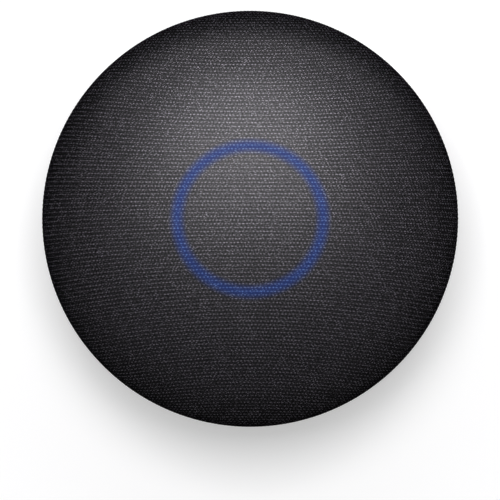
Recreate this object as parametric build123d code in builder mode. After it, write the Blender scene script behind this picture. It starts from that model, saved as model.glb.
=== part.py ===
from build123d import *
import os
from math import acos, asin, atan, cos, degrees, radians, sin, sqrt, tan

# A puck-shaped smart speaker: a cloth-covered dome with a light ring, on a moulded base.
# The origin is the middle of the foot's underside and +Z points up through the crown.
# The rear, with the inlet and the controls, faces +Y.
os.makedirs("parts", exist_ok=True)

# Body, measured over the cloth
diameter = 100.0
dome_height = 16.0        # widest line to the crown
waist_height = 24.0       # floor to the widest line
belly_depth = 40.0        # upright half-axis of the side below the widest line
crown_flat = 1.0          # radius of the flat at the very top

# Skins and walls
cloth_thickness = 0.9
glue_line = 0.05
shell_wall = 2.0
housing_wall = 2.2
housing_inset = 0.3       # the base stands back behind the cloth
floor_wall = 2.0
seam_height = 13.8        # top of the base's rim
seam_gap = 0.6            # shadow line between the base and the cloth
hem_fold = 3.0            # cloth folded up inside the dome
hem_round = 0.8
hem_ring_wall = 1.2

# Foot and underside
base_lift = 1.2           # underside above the floor
base_round = 5.0
foot_border = 2.0         # bare rim of the underside around the foot
foot_sink = 0.8           # foot let into the underside
foot_groove_width = 1.2
foot_groove_depth = 0.6
foot_grooves = (0.45, 0.82)  # as shares of the foot's radius

# Rim of the base, baffle and its seal
tongue_wall = 1.6
tongue_height = 3.2
tongue_clearance = 0.4
rim_thickness = 1.8
seal_height = 0.8
deck_rise = 0.6           # top of the baffle plate above the widest line
deck_wall = 1.6
deck_rib_height = 2.2
deck_rib_width = 1.2
deck_ribs = 8

# Screws: shank and head radii, head height
large_shank = 1.25
large_head = 2.3
large_head_height = 1.6
small_shank = 0.9
small_head = 1.7
small_head_height = 1.2
screw_clearance = 0.25
thread_fit = 0.03
screw_tip_gap = 0.4       # hole beyond the tip
cross_length = 1.2        # of the recess, as shares of the head's radius
cross_width = 0.3
housing_screw_length = 10.0
shell_screw_length = 6.0
driver_screw_length = 5.0
board_screw_length = 3.6
led_screw_length = 4.0

# Posts that join the baffle to the base
post_radius = 3.0
post_seat = 9.0
post_angle = 25.0
post_border = 4.2         # foot's edge to the post's axis
post_pilot_depth = 7.0
post_step = 0.4           # base's boss outside the post
screw_sink = 0.6          # heads below the foot's recess

# Light ring and the board under it
light_ring_radius = 17.5
light_ring_width = 2.6
light_channel_depth = 1.0
light_fit = 0.1
light_count = 12
light_pipe_radius = 0.9
led_width = 1.6
led_height = 0.7
led_gap = 0.2
led_board_rise = 5.2      # board's underside above the baffle plate
led_board_wall = 1.0
led_board_inner = 13.8
led_board_outer = 24.5
led_fixing_radius = 21.5
led_boss_radius = 2.2

# Microphones
mic_length = 3.5
mic_width = 2.65
mic_height = 1.0
mic_hole = 0.7
mic_gasket_wall = 1.0
mic_round = 0.3

# Grille
grille_hole = 1.3
grille_pitch = 4.6
grille_inner_rings = 3
grille_outer_start = 26.6
grille_outer_rings = 2
shell_boss_radius = 2.8
shell_boss_gap = 0.8      # boss to the baffle's skirt

# Loudspeaker
driver_cutout = 17.5      # radius of the baffle's hole
driver_land = 5.0         # width of the flange on the baffle
driver_gasket_height = 0.8
flange_thickness = 1.0
basket_depth = 8.0
basket_wall = 1.0
basket_foot = 13.4
basket_gap = 0.3          # neck in the baffle's hole
window_share = 0.62       # of the hole's radius
shelf_border = 0.6
shelf_width = 1.4
driver_screw_share = 0.56  # of the land's width
top_plate_height = 1.6
magnet_height = 4.0
magnet_radius = 14.2
magnet_bore = 8.6
back_plate_height = 1.6
pole_radius = 5.7
coil_clearance = 0.5
coil_former_wall = 0.15
coil_winding_wall = 0.4
coil_winding_height = 4.0
coil_floor_gap = 0.4      # left under the coil at full travel
former_drop = 3.4         # flange's top to the former's top
cone_travel = 1.5
cone_wall = 0.45
cone_bow = 0.5
neck_rise = 1.2           # cone's neck above the spider
cap_rise = 1.9
cap_wall = 0.35
cap_foot = 0.2
spider_rise = 2.6         # spider above the top plate
spider_wall = 0.35
spider_waves = 3
spider_swell = 0.4
spider_collar = 0.6
roll_wall = 0.4
roll_width = 2.7
roll_border = 0.9
lip_width = 0.95
terminal_length = 9.0
terminal_reach = 3.4
terminal_wall = 1.2
strip_lift = 0.3
lead_border = 1.2
lead_shift = 2.6          # socket outside the strip
lead_radius = 0.6
lead_spread = 2.0
lead_bend = 2.5
lead_bends = (0.38, 0.62)  # as shares of the fall

# Main board and what it carries
board_rise = 1.5          # board's underside above the floor
board_wall = 1.2
board_radius = 33.0
board_boss_radius = 2.4
board_fixing_radius = 26.0
board_clearance = 0.6
shield_length = 16.0
shield_width = 12.0
shield_height = 2.2
shield_wall = 0.3
shield_round = 1.0
shield_reach = 21.5       # shield's middle from the axis
processor_width = 9.0
processor_height = 1.0
amplifier_width = 6.0
amplifier_height = 0.9
inductor_width = 6.0
inductor_height = 3.0
inductor_gap = 2.0
inductor_round = 1.2
inductor_chamfer = 0.4
capacitor_radius = 2.5
capacitor_height = 5.5
capacitor_gap = 1.5
capacitor_spacing = 1.0
capacitor_round = 0.5
power_share = 0.85        # power parts, of the board's fixing radius
socket_height = 3.0
socket_width = 4.0
socket_length = 8.0
socket_chamfer = 0.3

# Ribbon cable
ribbon_width = 8.0
ribbon_thickness = 0.3
ribbon_reach = 30.0
ribbon_bend = 2.0
ribbon_slot_gap = 0.6
ribbon_socket_length = 11.0
ribbon_socket_width = 3.0
ribbon_socket_height = 1.6
ribbon_upper_run = 6.0    # from the ribbon's upright to the upper socket
ribbon_lower_run = 3.0

# Antennas
antenna_height = 4.0
antenna_arc = 40.0
antenna_thickness = 0.2
antenna_angle = 30.0
antenna_drop = 0.6

# Power inlet at the rear: socket and the recess that a plug's grip enters
usb_width = 8.94
usb_height = 3.26
usb_length = 7.3
usb_wall = 0.3
usb_cavity = 6.2
usb_tongue_width = 6.69
usb_tongue_height = 0.7
usb_tongue_length = 4.45
usb_fit = 0.15
usb_sink = 0.1
tub_width = 13.4
tub_height = 7.4
tub_depth = 2.6           # at the recess's lower edge
tub_wall = 1.4

# Microphone switch
mic_switch_angle = 130.0
knob_length = 5.0
knob_width = 3.4
knob_height = 1.5
knob_round = 0.9
knob_travel = 2.4
knob_gap = 0.5            # around the knob in its pocket
knob_lift = 0.2           # above the pocket's floor
knob_stem_length = 3.2
knob_stem_width = 1.5
stem_gap = 0.3
mic_pocket_depth = 1.0
mic_switch_depth = 3.8
mic_switch_height = 3.4
mic_switch_slot = 1.6

# Reset button
reset_angle = 50.0
reset_radius = 2.3
reset_gap = 0.15
reset_height = 2.2        # above the pocket's floor
reset_travel = 0.5
reset_flange = 0.9
reset_flange_wall = 0.8
reset_dish = 1.1          # pocket's border around the button
reset_pocket_depth = 0.6
reset_plunger = 0.9
plunger_length = 0.6
plunger_gap = 0.1
reset_round = 0.4
reset_switch_width = 4.5
reset_switch_depth = 3.0
reset_switch_height = 3.5
pad_wall = 2.4            # housing behind a pocket's floor
pad_border = 1.6
tab_gap = 1.6             # board's tabs to the wall ahead of them

# Levels and radii that follow
radius = diameter / 2
shell_outer_inset = cloth_thickness + glue_line
shell_inner_inset = shell_outer_inset + shell_wall
cavity_inset = housing_inset + housing_wall


def side_radius(inset, level):
    """Radius of the side, set in by inset, at a level below the widest line."""
    return (radius - inset) * sqrt(1 - ((waist_height - level) / (belly_depth - inset)) ** 2)


def dome_level(inset, reach):
    """Height of the dome, set in by inset, at the distance reach from the axis."""
    return waist_height + (dome_height - inset) * sqrt(1 - (reach / (radius - inset)) ** 2)


def ring_points(reach, count, first=0.0):
    """Points evenly spaced on a circle about the axis."""
    turns = [radians(first + 360 * step / count) for step in range(count)]
    return [(reach * cos(turn), reach * sin(turn)) for turn in turns]


def side_plane(angle, reach, level):
    """Upright plane square to the radius at angle, facing outwards, with its y up."""
    turn = radians(angle)
    return Plane(
        origin=(reach * cos(turn), reach * sin(turn), level),
        x_dir=(-sin(turn), cos(turn), 0),
        z_dir=(cos(turn), sin(turn), 0),
    )


def section_plane(angle):
    """Upright plane through the axis, with its x along the radius at angle."""
    turn = radians(angle)
    return Plane((0, 0, 0), x_dir=(cos(turn), sin(turn), 0), z_dir=(sin(turn), -cos(turn), 0))


def body_face(inset, bottom, mode=Mode.ADD):
    """Half section of the body, set in by inset and closed at the level bottom."""
    across = radius - inset
    drop = degrees(asin((waist_height - bottom) / (belly_depth - inset)))
    rise = degrees(acos(crown_flat / across))
    with BuildLine() as outline:
        crown = EllipticalCenterArc((0, waist_height), across, dome_height - inset, arc_size=rise)
        belly = EllipticalCenterArc((0, waist_height), across, belly_depth - inset, -drop, arc_size=drop)
        Polyline(belly @ 0, (0, bottom), (0, (crown @ 1).Y), crown @ 1)
    make_face(outline.line.edges(), mode=mode)


def ring_face(inner, outer, low, high, mode=Mode.ADD):
    """Half section of a plain ring."""
    with Locations(((inner + outer) / 2, (low + high) / 2)):
        Rectangle(outer - inner, high - low, mode=mode)


def pins(points, shape_radius, low, high, mode=Mode.ADD):
    """Upright round pins or holes."""
    with BuildSketch(Plane.XY.offset(low)) as rounds:
        with Locations(*points):
            Circle(shape_radius)
    extrude(rounds.sketch, amount=high - low, mode=mode)


def screws(points, seat, length, shank, head, head_height, up):
    """Pan-head screws with a cross recess; up is 1 where the shank points up from its seat."""
    pins(points, shank, seat, seat + up * length)
    pins(points, head, seat, seat - up * head_height)
    with BuildSketch(Plane.XY.offset(seat - up * head_height)) as crosses:
        with Locations(*points):
            Rectangle(cross_length * head, cross_width * head)
            Rectangle(cross_width * head, cross_length * head)
    extrude(crosses.sketch, amount=up * head_height / 2, mode=Mode.SUBTRACT)


def finish(builder, label):
    """Names a piece and writes it."""
    builder.part.label = label
    export_step(builder.part, f"parts/{label}.step")


# Cloth hem, from the seam inwards
hem_level = seam_height + seam_gap
shell_foot = hem_level + cloth_thickness + glue_line
land_radius = side_radius(shell_inner_inset, shell_foot)
land_top = shell_foot + hem_fold + shell_wall
fold_outer = land_radius - glue_line
fold_inner = fold_outer - cloth_thickness
hem_ring_outer = fold_inner - glue_line
hem_ring_inner = hem_ring_outer - hem_ring_wall
fold_top = shell_foot + hem_fold

# Base rim, seal and baffle
tongue_outer = hem_ring_inner - tongue_clearance
tongue_inner = tongue_outer - tongue_wall
tongue_top = seam_height + tongue_height
seal_top = tongue_top + seal_height
deck_top = waist_height + deck_rise
deck_bottom = deck_top - deck_wall
shell_boss_reach = tongue_inner - shell_boss_radius - shell_boss_gap

# Underside, foot and posts
base_reach = side_radius(housing_inset, base_lift)
base_drop = (waist_height - base_lift) / (belly_depth - housing_inset)
base_lean = atan((radius - housing_inset) * base_drop
                 / ((belly_depth - housing_inset) * sqrt(1 - base_drop ** 2)))
base_flat = base_reach - base_round * tan((radians(90) - base_lean) / 2)
foot_radius = base_flat - foot_border
foot_top = base_lift + foot_sink
floor_top = foot_top + floor_wall
post_reach = foot_radius - post_border
post_x = post_reach * cos(radians(post_angle))
post_y = post_reach * sin(radians(post_angle))
post_points = [(x, y) for x in (-post_x, post_x) for y in (-post_y, post_y)]
post_boss = post_radius + post_step
screw_seat = foot_top + large_head_height + screw_sink

# Main board, inlet and controls
board_bottom = floor_top + board_rise
board_top = board_bottom + board_wall
board_points = ring_points(board_fixing_radius, 4, 45)
port_level = board_top + usb_height / 2
tub_floor = side_radius(housing_inset, port_level - tub_height / 2) - tub_depth
tub_inner = tub_floor - tub_wall
mic_pocket_width = knob_width + 2 * knob_gap
mic_pocket_length = knob_length + knob_travel + 2 * knob_gap
mic_floor = side_radius(housing_inset, port_level - mic_pocket_width / 2) - mic_pocket_depth
mic_inner = mic_floor - pad_wall
reset_pocket = reset_radius + reset_dish
reset_floor = side_radius(housing_inset, port_level - reset_pocket) - reset_pocket_depth
reset_inner = reset_floor - pad_wall

# Lights and microphones
led_board_bottom = deck_top + led_board_rise
led_board_top = led_board_bottom + led_board_wall
led_top = led_board_top + led_height
light_inner = light_ring_radius - light_ring_width / 2
light_outer = light_ring_radius + light_ring_width / 2
light_points = ring_points(light_ring_radius, light_count)
channel_floor = dome_level(shell_outer_inset, light_outer) - light_channel_depth
led_screw_points = ring_points(led_fixing_radius, 3, 90)
mic_points = ring_points(led_fixing_radius, 3, 30)
mic_top = led_board_top + mic_height
shell_screw_points = ring_points(shell_boss_reach, 4)

# Loudspeaker, from the flange down
flange_radius = driver_cutout + driver_land
flange_bottom = deck_top + driver_gasket_height
flange_top = flange_bottom + flange_thickness
plate_top = flange_bottom - basket_depth
plate_bottom = plate_top - top_plate_height
magnet_bottom = plate_bottom - magnet_height
yoke_bottom = magnet_bottom - back_plate_height
spider_level = plate_top + spider_rise
former_inner = pole_radius + coil_clearance
former_outer = former_inner + coil_former_wall
winding_outer = former_outer + coil_winding_wall
gap_outer = winding_outer + coil_clearance
former_low = magnet_bottom + cone_travel + coil_floor_gap
former_top = flange_top - former_drop
neck_inner = former_outer + glue_line
roll_outer = driver_cutout - roll_border
roll_inner = roll_outer - roll_width
lip_inner = roll_inner - lip_width
driver_screw_points = ring_points(driver_cutout + driver_land * driver_screw_share, 4, 45)

# Cloth cover, with its hem folded up inside the dome
with BuildPart() as fabric_cover:
    with BuildSketch(Plane.XZ):
        body_face(0, hem_level)
    revolve(axis=Axis.Z)
    fillet(fabric_cover.edges().group_by(Axis.Z)[0], hem_round)
    with BuildSketch(Plane.XZ):
        body_face(cloth_thickness, hem_level + cloth_thickness)
        ring_face(fold_inner, fold_outer, hem_level, fold_top, mode=Mode.SUBTRACT)
        ring_face(0, fold_inner, hem_level, hem_level + cloth_thickness)
    revolve(axis=Axis.Z, mode=Mode.SUBTRACT)
finish(fabric_cover, "fabric_cover")

# Hollow of the dome, less the bosses that hang from it
with BuildPart() as shell_core:
    with BuildSketch(Plane.XZ):
        body_face(shell_inner_inset, shell_foot)
        ring_face(land_radius, radius, shell_foot, land_top, mode=Mode.SUBTRACT)
    revolve(axis=Axis.Z)
    pins(led_screw_points, led_boss_radius, led_board_top, waist_height + dome_height, Mode.SUBTRACT)
    pins(shell_screw_points, shell_boss_radius, deck_top, waist_height + dome_height, Mode.SUBTRACT)

# Perforated dome under the cloth
with BuildPart() as grille_shell:
    with BuildSketch(Plane.XZ):
        body_face(shell_outer_inset, shell_foot)
    revolve(axis=Axis.Z)
    add(shell_core.part, mode=Mode.SUBTRACT)
    with BuildSketch(Plane.XY.offset(channel_floor)):
        Circle(light_outer + light_fit)
        Circle(light_inner - light_fit, mode=Mode.SUBTRACT)
    extrude(amount=dome_height, mode=Mode.SUBTRACT)
    pins(light_points, light_pipe_radius + light_fit, led_top, waist_height + dome_height, Mode.SUBTRACT)
    grille_points = [(0, 0)]
    for ring in range(1, grille_inner_rings + 1):
        grille_points += ring_points(ring * grille_pitch, 6 * ring)
    for ring in range(grille_outer_rings):
        reach = grille_outer_start + ring * grille_pitch
        grille_points += ring_points(reach, 6 * round(reach / grille_pitch))
    pins(grille_points, grille_hole, waist_height, waist_height + dome_height, Mode.SUBTRACT)
    pins(mic_points, mic_hole, mic_top, waist_height + dome_height, Mode.SUBTRACT)
    pins(led_screw_points, small_shank + thread_fit, led_board_top, led_board_top + led_screw_length,
         Mode.SUBTRACT)
    pins(shell_screw_points, large_shank + thread_fit, deck_top, deck_top + shell_screw_length,
         Mode.SUBTRACT)
finish(grille_shell, "grille_shell")

# Ring that clamps the folded hem
with BuildPart() as hem_ring:
    with BuildSketch(Plane.XZ):
        ring_face(hem_ring_inner, hem_ring_outer, hem_level + seam_gap / 2, fold_top + cloth_thickness)
    revolve(axis=Axis.Z)
    chamfer(hem_ring.edges().group_by(Axis.Z)[-1], hem_ring_wall / 4)
finish(hem_ring, "hem_ring")

# Light ring: flush with the dome, with a light pipe down to each lamp
with BuildPart() as light_ring:
    with BuildSketch(Plane.XY.offset(channel_floor)):
        Circle(light_outer)
        Circle(light_inner, mode=Mode.SUBTRACT)
    extrude(amount=dome_height)
    with BuildSketch(Plane.XZ):
        body_face(shell_outer_inset, shell_foot)
    revolve(axis=Axis.Z, mode=Mode.INTERSECT)
    pins(light_points, light_pipe_radius, led_top + led_gap, channel_floor)
finish(light_ring, "light_ring")

# Ring board that carries the lamps, the microphones and the touch pads
with BuildPart() as led_board:
    with BuildSketch(Plane.XY.offset(led_board_bottom)):
        Circle(led_board_outer)
        Circle(led_board_inner, mode=Mode.SUBTRACT)
        with Locations(*led_screw_points):
            Circle(small_shank + screw_clearance, mode=Mode.SUBTRACT)
    extrude(amount=led_board_wall)
finish(led_board, "led_board")

with BuildPart() as leds:
    with BuildSketch(Plane.XY.offset(led_board_top)):
        with PolarLocations(light_ring_radius, light_count):
            Rectangle(led_width, led_width)
    extrude(amount=led_height)
finish(leds, "leds")

with BuildPart() as led_board_screws:
    screws(led_screw_points, led_board_bottom, led_screw_length, small_shank, small_head,
           small_head_height, 1)
finish(led_board_screws, "led_board_screws")

with BuildPart() as microphones:
    with BuildSketch(Plane.XY.offset(led_board_top)):
        with PolarLocations(led_fixing_radius, 3, start_angle=30):
            RectangleRounded(mic_width, mic_length, mic_round)
    extrude(amount=mic_height)
finish(microphones, "microphones")

# Rubber tubes from the microphones to the dome
with BuildPart() as mic_gaskets:
    pins(mic_points, mic_hole + mic_gasket_wall, mic_top, waist_height + dome_height)
    with BuildSketch(Plane.XZ):
        body_face(shell_inner_inset + glue_line, shell_foot)
    revolve(axis=Axis.Z, mode=Mode.INTERSECT)
    pins(mic_points, mic_hole, mic_top, waist_height + dome_height, Mode.SUBTRACT)
finish(mic_gaskets, "mic_gaskets")

# Baffle: a ribbed plate with a skirt, and posts down to the base
ribbon_slot = (0, -ribbon_reach)
with BuildPart() as speaker_baffle:
    with BuildSketch(Plane.XZ):
        ring_face(driver_cutout, tongue_outer, deck_bottom, deck_top)
        ring_face(tongue_inner, tongue_outer, seal_top, deck_top)
        ring_face(driver_cutout, driver_cutout + deck_rib_width, deck_bottom - deck_rib_height, deck_top)
    revolve(axis=Axis.Z)
    rib_length = tongue_inner - driver_cutout
    with BuildSketch(Plane.XY.offset(deck_bottom - deck_rib_height)):
        with PolarLocations(driver_cutout + rib_length / 2 + deck_rib_width / 2, deck_ribs,
                            start_angle=180 / deck_ribs):
            Rectangle(rib_length, deck_rib_width)
    extrude(amount=deck_rib_height + deck_wall)
    pins(post_points, post_radius, post_seat, deck_bottom)
    pins(driver_screw_points, small_head, deck_top - driver_screw_length, deck_bottom)
    pins(post_points, large_shank + thread_fit, post_seat, post_seat + post_pilot_depth, Mode.SUBTRACT)
    pins(driver_screw_points, small_shank + thread_fit, deck_top - driver_screw_length, deck_top,
         Mode.SUBTRACT)
    pins(shell_screw_points, large_shank + screw_clearance, deck_bottom, deck_top, Mode.SUBTRACT)
    with BuildSketch(Plane.XY.offset(deck_bottom)):
        with Locations(ribbon_slot):
            RectangleRounded(ribbon_width + 2 * ribbon_slot_gap, ribbon_thickness + 2 * ribbon_slot_gap,
                             ribbon_slot_gap)
    extrude(amount=deck_wall, mode=Mode.SUBTRACT)
finish(speaker_baffle, "speaker_baffle")

with BuildPart() as shell_screws:
    screws(shell_screw_points, deck_bottom, deck_wall + shell_screw_length, large_shank, large_head,
           large_head_height, 1)
finish(shell_screws, "shell_screws")

# Foam seal between the baffle's skirt and the base
with BuildPart() as baffle_seal:
    with BuildSketch(Plane.XZ):
        ring_face(tongue_inner, tongue_outer, tongue_top, seal_top)
    revolve(axis=Axis.Z)
finish(baffle_seal, "baffle_seal")

with BuildPart() as driver_gasket:
    with BuildSketch(Plane.XY.offset(deck_top)):
        Circle(flange_radius)
        Circle(driver_cutout, mode=Mode.SUBTRACT)
        with Locations(*driver_screw_points):
            Circle(small_shank + screw_clearance, mode=Mode.SUBTRACT)
    extrude(amount=driver_gasket_height)
finish(driver_gasket, "driver_gasket")

# Basket: flange, windowed cone, shelf for the spider and foot on the magnet's plate
basket_neck = driver_cutout - basket_gap
shelf_outer = basket_foot - shelf_border
shelf_inner = shelf_outer - shelf_width
with BuildPart() as driver_basket:
    with BuildSketch(Plane.XZ):
        with BuildLine():
            Polyline(
                (gap_outer, plate_top),
                (basket_foot, plate_top),
                (basket_foot, spider_level - 0.6 * basket_wall),
                (basket_neck, flange_bottom),
                (flange_radius, flange_bottom),
                (flange_radius, flange_top),
                (roll_outer, flange_top),
                (basket_neck - 1.3 * basket_wall, flange_bottom - 0.4 * basket_wall),
                (shelf_outer, spider_level),
                (shelf_inner, spider_level),
                (shelf_inner, spider_level - 0.8 * basket_wall),
                (basket_foot - basket_wall, spider_level - 0.8 * basket_wall),
                (basket_foot - basket_wall, plate_top + basket_wall),
                (gap_outer, plate_top + basket_wall),
                close=True,
            )
        make_face()
    revolve(axis=Axis.Z)
    window_height = flange_bottom - spider_level - 2.0 * basket_wall
    with Locations((0, 0, spider_level + 0.9 * basket_wall + window_height / 2)):
        with PolarLocations(driver_cutout, 4):
            Box(driver_land + 4 * basket_wall, window_share * driver_cutout, window_height,
                mode=Mode.SUBTRACT)
    pins(driver_screw_points, small_shank + screw_clearance, flange_bottom, flange_top, Mode.SUBTRACT)
finish(driver_basket, "driver_basket")

with BuildPart() as driver_screws:
    screws(driver_screw_points, flange_top, flange_top - deck_top + driver_screw_length - screw_tip_gap,
           small_shank, small_head, small_head_height, -1)
finish(driver_screws, "driver_screws")

# Magnet system: yoke with its pole, ring magnet and top plate
with BuildPart() as driver_yoke:
    with BuildSketch(Plane.XZ):
        ring_face(0, basket_foot, yoke_bottom, magnet_bottom)
        ring_face(0, pole_radius, yoke_bottom, plate_top)
    revolve(axis=Axis.Z)
    chamfer(driver_yoke.edges().group_by(Axis.Z)[0], back_plate_height / 4)
finish(driver_yoke, "driver_yoke")

with BuildPart() as driver_magnet:
    with BuildSketch(Plane.XZ):
        ring_face(magnet_bore, magnet_radius, magnet_bottom, plate_bottom)
    revolve(axis=Axis.Z)
    rims = driver_magnet.edges().filter_by(GeomType.CIRCLE).sort_by(SortBy.RADIUS)[-2:]
    chamfer(rims, magnet_height / 10)
finish(driver_magnet, "driver_magnet")

with BuildPart() as driver_top_plate:
    with BuildSketch(Plane.XZ):
        ring_face(gap_outer, basket_foot, plate_bottom, plate_top)
    revolve(axis=Axis.Z)
finish(driver_top_plate, "driver_top_plate")

# Moving parts of the driver
with BuildPart() as voice_coil:
    winding_middle = (plate_top + plate_bottom) / 2
    with BuildSketch(Plane.XZ):
        ring_face(former_inner, former_outer, former_low, former_top)
        ring_face(former_inner, winding_outer, winding_middle - coil_winding_height / 2,
                  winding_middle + coil_winding_height / 2)
    revolve(axis=Axis.Z)
finish(voice_coil, "voice_coil")

neck_low = spider_level + neck_rise
neck_top = neck_low + 1.4 * cone_wall
neck_outer = neck_inner + cone_wall
lip_low = flange_top - cone_wall
with BuildPart() as speaker_cone:
    with BuildSketch(Plane.XZ):
        with BuildLine():
            under = SagittaArc((neck_outer, neck_low), (lip_inner + cone_wall, lip_low), cone_bow)
            over = SagittaArc((lip_inner, flange_top), (neck_outer, neck_top), -cone_bow)
            Polyline(under @ 1, (roll_inner, lip_low), (roll_inner, flange_top), over @ 0)
            Polyline(over @ 1, (neck_inner, neck_top), (neck_inner, neck_low), under @ 0)
        make_face()
    revolve(axis=Axis.Z)
finish(speaker_cone, "speaker_cone")

with BuildPart() as dust_cap:
    with BuildSketch(Plane.XZ):
        with BuildLine():
            crown_level = former_top + cap_rise
            outside = RadiusArc((former_outer, former_top), (-former_outer, former_top),
                                -(former_outer ** 2 + cap_rise ** 2) / (2 * cap_rise))
            Line(outside @ 1, outside @ 0)
        make_face()
        with BuildLine():
            rise = cap_rise - cap_wall
            span = former_inner - cap_foot
            inside = RadiusArc((span, former_top), (-span, former_top),
                               -(span ** 2 + rise ** 2) / (2 * rise))
            Line(inside @ 1, inside @ 0)
        make_face(mode=Mode.SUBTRACT)
        ring_face(-radius, 0, former_top, crown_level, mode=Mode.SUBTRACT)
    revolve(axis=Axis.Z)
finish(dust_cap, "dust_cap")

# Half-roll surround between the flange and the cone's lip
with BuildPart() as surround:
    with BuildSketch(Plane.XZ):
        with Locations(((roll_inner + roll_outer) / 2, flange_top)):
            Circle(roll_width / 2 + roll_wall)
            Circle(roll_width / 2, mode=Mode.SUBTRACT)
        ring_face(0, radius, 0, flange_top, mode=Mode.SUBTRACT)
        ring_face(lip_inner, roll_inner, flange_top, flange_top + roll_wall)
        ring_face(roll_outer, roll_outer + 2 * lip_width, flange_top, flange_top + roll_wall)
    revolve(axis=Axis.Z)
finish(surround, "surround")

# Corrugated spider between the coil's former and the basket's shelf
with BuildPart() as spider:
    wave_start = neck_inner + spider_collar
    wave_end = shelf_inner - glue_line
    half_wave = (wave_end - wave_start) / (2 * spider_waves)
    with BuildSketch(Plane.XZ):
        with BuildLine():
            for level in (spider_level, spider_level + spider_wall):
                Line((neck_inner, level), (wave_start, level))
                for step in range(2 * spider_waves):
                    begin = (wave_start + step * half_wave, level)
                    end = (wave_start + (step + 1) * half_wave, level)
                    SagittaArc(begin, end, spider_swell * (-1) ** step)
                Line((wave_end, level), (shelf_outer, level))
            for reach in (neck_inner, shelf_outer):
                Line((reach, spider_level), (reach, spider_level + spider_wall))
        make_face()
    revolve(axis=Axis.Z)
finish(spider, "spider")

# Tag strip on the basket and its two leads down to the board
strip_bottom = plate_top + strip_lift
strip_outer = basket_foot + terminal_reach
lead_x = -(strip_outer - lead_border)
socket_x = lead_x - lead_shift
socket_top = board_top + socket_height
with BuildPart() as driver_terminals:
    with BuildSketch(Plane.XY.offset(strip_bottom)):
        with Locations((-strip_outer / 2, 0)):
            Rectangle(strip_outer, terminal_length)
        Circle(basket_foot + glue_line, mode=Mode.SUBTRACT)
    extrude(amount=terminal_wall)
finish(driver_terminals, "driver_terminals")

with BuildPart() as speaker_leads:
    for side in (-lead_spread, lead_spread):
        with BuildLine() as route:
            fall = strip_bottom - socket_top
            FilletPolyline(
                (lead_x, side, strip_bottom),
                (lead_x, side, strip_bottom - lead_bends[0] * fall),
                (socket_x, side, strip_bottom - lead_bends[1] * fall),
                (socket_x, side, socket_top),
                radius=lead_bend,
            )
        with BuildSketch(Plane(route.line @ 0, z_dir=route.line % 0)):
            Circle(lead_radius)
        sweep(path=route.line)
finish(speaker_leads, "speaker_leads")

with BuildPart() as speaker_socket:
    with BuildSketch(Plane.XY.offset(board_top)):
        with Locations((socket_x, 0)):
            Rectangle(socket_width, socket_length)
    extrude(amount=socket_height)
    chamfer(speaker_socket.edges().group_by(Axis.Z)[-1], socket_chamfer)
finish(speaker_socket, "speaker_socket")

# Main board: a disc notched around the posts, with tabs out to the inlet and the controls
controls = {
    90.0: (tub_width, tub_inner),
    mic_switch_angle: (mic_pocket_length + pad_border, mic_inner),
    reset_angle: (2 * reset_pocket + pad_border, reset_inner),
}
with BuildPart() as main_board:
    with BuildSketch(Plane.XY.offset(board_bottom)):
        Circle(board_radius)
        with Locations(*post_points):
            Circle(post_boss + board_clearance, mode=Mode.SUBTRACT)
        for angle, (tab_width, wall_face) in controls.items():
            tab_length = wall_face - tab_gap - board_radius / 2
            with PolarLocations(board_radius / 2 + tab_length / 2, 1, start_angle=angle):
                Rectangle(tab_length, tab_width)
        with Locations(*board_points):
            Circle(small_shank + screw_clearance, mode=Mode.SUBTRACT)
    extrude(amount=board_wall)
finish(main_board, "main_board")

with BuildPart() as board_screws:
    screws(board_points, board_top, board_screw_length, small_shank, small_head, small_head_height, -1)
finish(board_screws, "board_screws")

# Processor, its heat pad and the shield over both
pad_top = board_top + shield_height - shield_wall
with BuildPart() as processor:
    with BuildSketch(Plane.XY.offset(board_top)):
        with Locations((shield_reach, 0)):
            Rectangle(processor_width, processor_width)
    extrude(amount=processor_height)
finish(processor, "processor")

with BuildPart() as thermal_pad:
    with BuildSketch(Plane.XY.offset(board_top + processor_height)):
        with Locations((shield_reach, 0)):
            Rectangle(processor_width, processor_width)
    extrude(amount=pad_top - board_top - processor_height)
finish(thermal_pad, "thermal_pad")

with BuildPart() as rf_shield:
    with BuildSketch(Plane.XY.offset(board_top)):
        with Locations((shield_reach, 0)):
            RectangleRounded(shield_width, shield_length, shield_round)
    extrude(amount=shield_height)
    with BuildSketch(Plane.XY.offset(board_top)):
        with Locations((shield_reach, 0)):
            RectangleRounded(shield_width - 2 * shield_wall, shield_length - 2 * shield_wall,
                             shield_round - shield_wall)
    extrude(amount=shield_height - shield_wall, mode=Mode.SUBTRACT)
finish(rf_shield, "rf_shield")

# Power and sound parts on the board
power_y = board_fixing_radius * power_share
with BuildPart() as amplifier_chip:
    with BuildSketch(Plane.XY.offset(board_top)):
        with Locations((0, power_y)):
            Rectangle(amplifier_width, amplifier_width)
    extrude(amount=amplifier_height)
finish(amplifier_chip, "amplifier_chip")

with BuildPart() as power_inductor:
    with BuildSketch(Plane.XY.offset(board_top)):
        with Locations((amplifier_width / 2 + inductor_width / 2 + inductor_gap, power_y)):
            RectangleRounded(inductor_width, inductor_width, inductor_round)
    extrude(amount=inductor_height)
    chamfer(power_inductor.edges().group_by(Axis.Z)[-1], inductor_chamfer)
finish(power_inductor, "power_inductor")

with BuildPart() as capacitors:
    capacitor_x = -(amplifier_width / 2 + capacitor_radius + capacitor_gap)
    capacitor_points = [(capacitor_x, power_y - capacitor_radius - capacitor_spacing / 2),
                        (capacitor_x, power_y + capacitor_radius + capacitor_spacing / 2)]
    pins(capacitor_points, capacitor_radius, board_top, board_top + capacitor_height)
    fillet(capacitors.edges().group_by(Axis.Z)[-1], capacitor_round)
finish(capacitors, "capacitors")

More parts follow.
